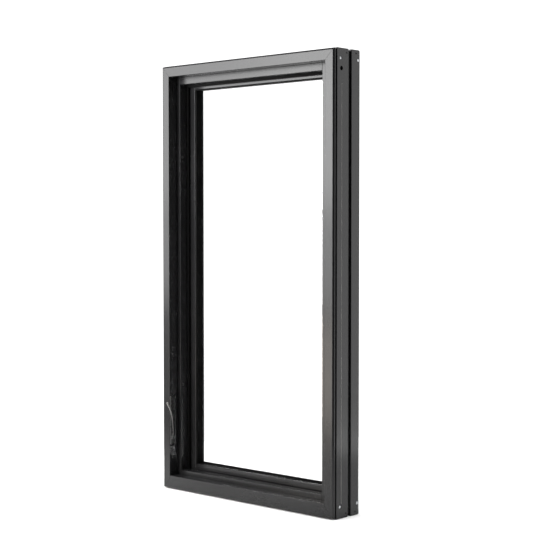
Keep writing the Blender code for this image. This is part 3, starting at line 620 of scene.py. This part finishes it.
# painted highlight: the bead is pale grey to show the bright line its edge catches
tint = add_node(tree, "ValToRGB", {}, {"Fac": bead_tone_noise.outputs["Fac"]})
tint.color_ramp.elements[0].position = 0.3
tint.color_ramp.elements[0].color = linear("#8b8984")
tint.color_ramp.elements[1].position = 0.7
tint.color_ramp.elements[1].color = linear("#b9b7b1")
tree.links.new(tint.outputs["Color"], shader.inputs["Base Color"])
shader.inputs["Roughness"].default_value = 0.5
for side, facing in (("lock", -1), ("hinge", 1)):
    low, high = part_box("frame_jamb_" + side)
    face_x = high.x if facing > 0 else low.x
    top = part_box("_".join(("corner_screw", side, "head", "front")))[0].z - 0.060
    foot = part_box("_".join(("corner_screw", side, "sill", "front")))[1].z + 0.004
    bpy.ops.object.select_all(action="DESELECT")
    bpy.ops.mesh.primitive_cylinder_add(
        vertices=12, radius=BEAD_RADIUS, depth=top - foot,
        location=(face_x - facing * BEAD_SINK, low.y + BEAD_DEPTH, (top + foot) / 2))
    bead = bpy.context.object
    bead.name = "jamb_bead_" + side
    bpy.ops.object.transform_apply(location=True, rotation=True, scale=True)
    bpy.ops.object.mode_set(mode="EDIT")
    bpy.ops.mesh.select_mode(type="FACE")
    bpy.ops.mesh.select_all(action="DESELECT")
    bpy.ops.object.mode_set(mode="OBJECT")
    for face in bead.data.polygons:
        face.select = abs(face.normal.z) > 0.9
    bpy.ops.object.mode_set(mode="EDIT")
    bpy.ops.mesh.bevel(offset=0.00025, segments=2, affect="EDGES")
    bpy.ops.object.mode_set(mode="OBJECT")
    bpy.ops.object.shade_smooth_by_angle(angle=math.radians(40))
    bead.data.materials.append(bead_highlight_paint)
    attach(bead, "frame")

# ---- Floor, backdrop and light ---------------------------------------------------------------
# A plain pale floor in a white surround. Four soft boxes stand on the room side, two of them high
# and bright, a weak one faces the outer side, and a broad light comes from overhead.
bpy.ops.object.select_all(action="DESELECT")
bpy.ops.mesh.primitive_plane_add(size=2.1, location=(0.25, 0, -0.0005))
floor = bpy.context.object
floor.name = "studio_floor"
paint = bpy.data.materials.new("pale_studio_floor")
paint.use_nodes = True
paint.node_tree.nodes["Principled BSDF"].inputs["Base Color"].default_value = linear("#f6f6f6")
paint.node_tree.nodes["Principled BSDF"].inputs["Roughness"].default_value = 0.9
paint.node_tree.nodes["Principled BSDF"].inputs["Specular IOR Level"].default_value = 0.1
floor.data.materials.append(paint)

world = bpy.data.worlds.new("white_studio")
bpy.context.scene.world = world
world.use_nodes = True
tree = world.node_tree
back = tree.nodes["Background"]
direction = add_node(tree, "TexCoord", {}, {}).outputs["Generated"]
split = add_node(tree, "SeparateXYZ", {}, {"Vector": direction})
across = add_node(tree, "MapRange", {"From Min": -0.5, "From Max": 0.5, "To Min": 0.62,
                                     "To Max": 0.10}, {"Value": split.outputs["X"]})
upward = add_node(tree, "MapRange", {"From Min": 0.15, "From Max": 0.7, "To Min": 1.0,
                                     "To Max": 0.12}, {"Value": split.outputs["Z"]})
dimmed = add_node(tree, "Math", {"operation": "MULTIPLY"}, {0: across.outputs[0],
                                                            1: upward.outputs[0]})
seen = add_node(tree, "LightPath", {}, {}).outputs["Is Camera Ray"]
strength = add_node(tree, "Mix", {"data_type": "FLOAT", 3: 1.35}, {0: seen, 2: dimmed.outputs[0]})
tree.links.new(strength.outputs[0], back.inputs["Strength"])
back.inputs["Color"].default_value = linear("#ffffff")


def soft_box(name, centre, aim, width, height, radiance, colour):
    """A rectangular soft box at a place, facing a point, of a given brightness."""
    data = bpy.data.lights.new(name, "AREA")
    data.shape = "RECTANGLE"
    data.size = width
    data.size_y = height
    data.spread = math.radians(130)
    data.energy = radiance * math.pi * width * height
    data.color = linear(colour)[:3]
    light = bpy.data.objects.new(name, data)
    light.location = centre
    light.rotation_euler = (Vector(aim) - Vector(centre)).to_track_quat("-Z", "Y").to_euler()
    light.visible_camera = False
    bpy.context.scene.collection.objects.link(light)


soft_box("high_left", (-1.33, -1.05, 1.28), (-1.33, 0, 1.28), 0.86, 0.95, 7.3, "#ffffff")
soft_box("high_right", (-0.55, -1.05, 1.28), (-0.55, 0, 1.28), 0.70, 0.95, 9.8, "#ffffff")
soft_box("middle_left", (-1.00, -1.05, 0.62), (-1.00, 0, 0.62), 1.5, 0.34, 5.0, "#ffffff")
soft_box("low_front", (-0.52, -1.05, 0.22), (-0.52, 0, 0.22), 0.5, 0.38, 5.0, "#fff6ec")
soft_box("outer_side", (0.54, 0.30, 0.70), (0.32, 0.03, 0.70), 0.3, 1.2, 0.95, "#ffffff")
overhead = bpy.data.lights.new("overhead", "SUN")
overhead.energy = 4.2
overhead.angle = math.radians(20)
overhead_at = bpy.data.objects.new("overhead", overhead)
bpy.context.scene.collection.objects.link(overhead_at)

# ---- Camera ----------------------------------------------------------------------------------
# A long lens 0.75 m above the floor, about 3.6 m away, on the room side and to the hinge side.
lens = bpy.data.cameras.new("room_side_camera")
lens.sensor_width = 36
lens.lens = 85.76
lens.clip_end = 200
camera = bpy.data.objects.new("room_side_camera", lens)
camera.location = (2.4719, -2.6099, 0.7502)
camera.rotation_euler = (math.radians(90 - 2.39), 0, math.radians(42.25))
bpy.context.scene.collection.objects.link(camera)
bpy.context.scene.camera = camera
bpy.context.scene.view_settings.view_transform = "Standard"
